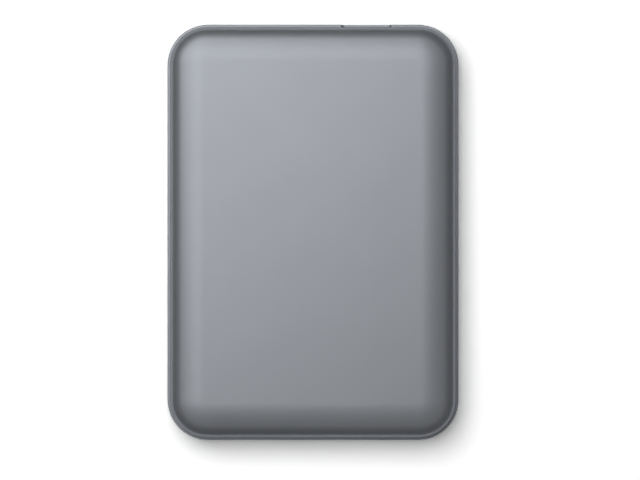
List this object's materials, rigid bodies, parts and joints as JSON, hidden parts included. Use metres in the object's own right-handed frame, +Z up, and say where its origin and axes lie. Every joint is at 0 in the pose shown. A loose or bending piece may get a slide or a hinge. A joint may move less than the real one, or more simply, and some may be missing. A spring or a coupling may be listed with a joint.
{
  "type": "portable external hard drive",
  "caption": "Slim rounded-slab external hard drive: two snap-fit shells around a small disk drive and a bridge board with a data port.",
  "frame": {"origin": "centre of the footprint, on the plane that the feet stand on", "axes": "+X across the case, +Y along it towards the end with the data port, +Z up through the domed top face"},
  "size_m": [0.082, 0.117, 0.0148],
  "materials": {
    "case_plastic": "satin metallic grey paint on moulded plastic",
    "rubber": "matte",
    "clear_plastic": "clear",
    "foam": "matte foam",
    "board": "solder mask",
    "chip": "matte",
    "passives": "matte",
    "plated_steel": "tin plated",
    "black_plastic": "matte",
    "gold": "gold plated",
    "cast_aluminium": "machined",
    "stamped_steel": "stamped",
    "screw_steel": "bright",
    "filter": "felt",
    "bronze": "sintered",
    "core_steel": "coated",
    "copper": "enamelled wire",
    "magnet": "nickel plated",
    "ramp_plastic": "satin",
    "flex": "polyimide film",
    "platter": "polished",
    "slider_ceramic": "ceramic"
  },
  "bodies": {
    "case": {"top_shell": "case_plastic", "bottom_shell": "case_plastic", "feet": "rubber", "light_pipe": "clear_plastic", "foam_pad": "foam", "corner_bumpers": "rubber", "bridge_board": "board", "bridge_chip": "chip", "flash_chip": "chip", "bridge_passives": "passives", "activity_led": "clear_plastic", "port_shell": "plated_steel", "port_insulator": "black_plastic", "port_contacts": "gold", "data_socket": "black_plastic", "drive_base": "cast_aluminium", "drive_cover": "stamped_steel", "cover_gasket": "rubber", "cover_screws": "screw_steel", "breather_filter": "filter", "recirculation_filter": "filter", "bearing_sleeve": "bronze", "stator_core": "core_steel", "stator_coils": "copper", "pivot_shaft": "screw_steel", "lower_yoke": "core_steel", "upper_yoke": "core_steel", "lower_magnet": "magnet", "upper_magnet": "magnet", "yoke_posts": "screw_steel", "crash_stops": "rubber", "parking_ramp": "ramp_plastic", "flex_loop": "flex", "flex_bracket": "black_plastic", "drive_board": "board", "controller_chip": "chip", "motor_chip": "chip", "memory_chip": "chip", "board_passives": "passives", "drive_plug": "black_plastic", "plug_contacts": "gold", "board_screws": "screw_steel"},
    "platter_stack": {"spindle_shaft": "screw_steel", "spindle_hub": "cast_aluminium", "rotor_magnet": "core_steel", "lower_platter": "platter", "upper_platter": "platter", "platter_spacer": "cast_aluminium", "disk_clamp": "cast_aluminium", "clamp_screw": "screw_steel"},
    "actuator": {"arm_block": "cast_aluminium", "pivot_sleeve": "screw_steel", "pivot_bearings": "screw_steel", "coil_frame": "black_plastic", "voice_coil": "copper", "suspensions": "stamped_steel", "head_sliders": "slider_ceramic", "preamp_chip": "chip"}
  },
  "joints": [
    {"name": "spindle_spin", "type": "hinge", "parent": "case", "child": "platter_stack", "pos_m": [0, -0.0175, 0.0075], "axis": [0, 0, 1], "continuous": true},
    {"name": "actuator_swing", "type": "hinge", "parent": "case", "child": "actuator", "pos_m": [0.017, 0.0175, 0.0075], "axis": [0, 0, 1], "range_deg": [0, 36]}
  ]
}
